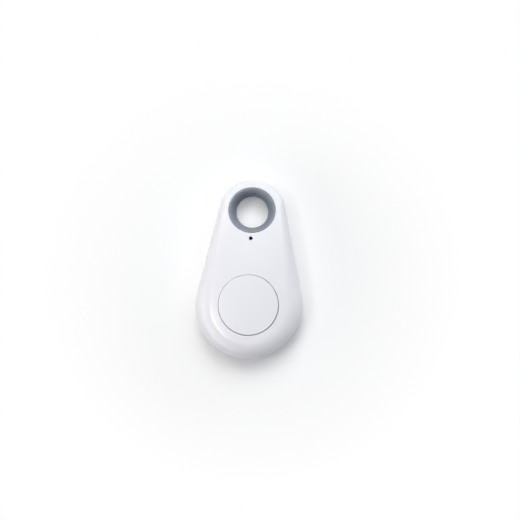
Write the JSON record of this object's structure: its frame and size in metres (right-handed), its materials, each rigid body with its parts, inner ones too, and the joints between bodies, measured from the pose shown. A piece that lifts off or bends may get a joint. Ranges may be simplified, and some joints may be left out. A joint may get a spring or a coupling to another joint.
{
  "type": "bluetooth tracker",
  "caption": "Tear-drop key finder: domed white snap-together housing, round push button, grey key-ring eye, coin cell and circuit board inside.",
  "frame": {"origin": "on the flat rear face, under the middle of the body's length and width", "axes": "+Z out of the domed front face, +Y towards the key-ring eye, +X to the right seen from the front"},
  "size_m": [0.031, 0.052, 0.011],
  "materials": {
    "white_plastic": "glossy moulded white, faintly cool",
    "button_plastic": "glossy moulded white",
    "grey_rubber": "satin slate grey",
    "board_green": "solder-masked laminate",
    "copper": "bare track",
    "gold_pad": "plated pads",
    "black_plastic": "moulded black",
    "spring_steel": "stamped and plated",
    "tin_lead": "tinned",
    "buzzer_black": "moulded black",
    "disc_brass": "thin disc",
    "chip_resin": "filled resin",
    "can_steel": "drawn can",
    "ceramic_tan": "fired",
    "ceramic_dark": "fired, black glaze",
    "ferrite": "ferrite block",
    "lamp_white": "white carrier",
    "lamp_clear": "clear resin dome",
    "cell_steel": "nickel plated",
    "gasket_plastic": "moulded seal",
    "pellet_grey": "pressed powder"
  },
  "bodies": {
    "rear_housing": {"rear_cover": "white_plastic"},
    "front_housing": {"front_cover": "white_plastic", "ring_grommet": "grey_rubber", "main_board": "board_green", "antenna_trace": "copper", "board_pads": "gold_pad", "switch_base": "black_plastic", "switch_cover": "spring_steel", "switch_legs": "tin_lead", "switch_dome": "spring_steel", "buzzer_case": "buzzer_black", "buzzer_base": "buzzer_black", "buzzer_disc": "disc_brass", "buzzer_pins": "tin_lead", "bluetooth_chip": "chip_resin", "chip_pins": "tin_lead", "crystal_can": "can_steel", "crystal_base": "ceramic_tan", "inductor_body": "ferrite", "capacitor_bodies": "ceramic_tan", "resistor_bodies": "ceramic_dark", "chip_terminals": "tin_lead", "lamp_base": "lamp_white", "lamp_lens": "lamp_clear", "battery_clip": "spring_steel", "negative_contact": "spring_steel"},
    "button": {"button_cap": "button_plastic"},
    "switch_plunger": {"switch_stem": "black_plastic"},
    "coin_cell": {"cell_can": "cell_steel", "cell_gasket": "gasket_plastic", "cell_pellet": "pellet_grey", "cell_cap": "cell_steel"}
  },
  "joints": [
    {"name": "housing_release", "type": "slide", "parent": "rear_housing", "child": "front_housing", "axis": [0, 0, 1], "range_m": [0, 0.04]},
    {"name": "button_press", "type": "slide", "parent": "front_housing", "child": "button", "axis": [0, 0, -1], "range_m": [0, 0.00025], "stiffness_N_per_m": 4000},
    {"name": "plunger_press", "type": "slide", "parent": "front_housing", "child": "switch_plunger", "axis": [0, 0, -1], "range_m": [0, 0.00025], "deforming": ["switch_dome"]},
    {"name": "cell_slide", "type": "slide", "parent": "front_housing", "child": "coin_cell", "axis": [0, -1, 0], "range_m": [0, 0.024]}
  ],
  "couplings": [
    {"joint": "plunger_press", "follows": "button_press", "ratio": 1},
    {"joint": "cell_slide", "follows": "housing_release", "ratio": 0.6}
  ]
}
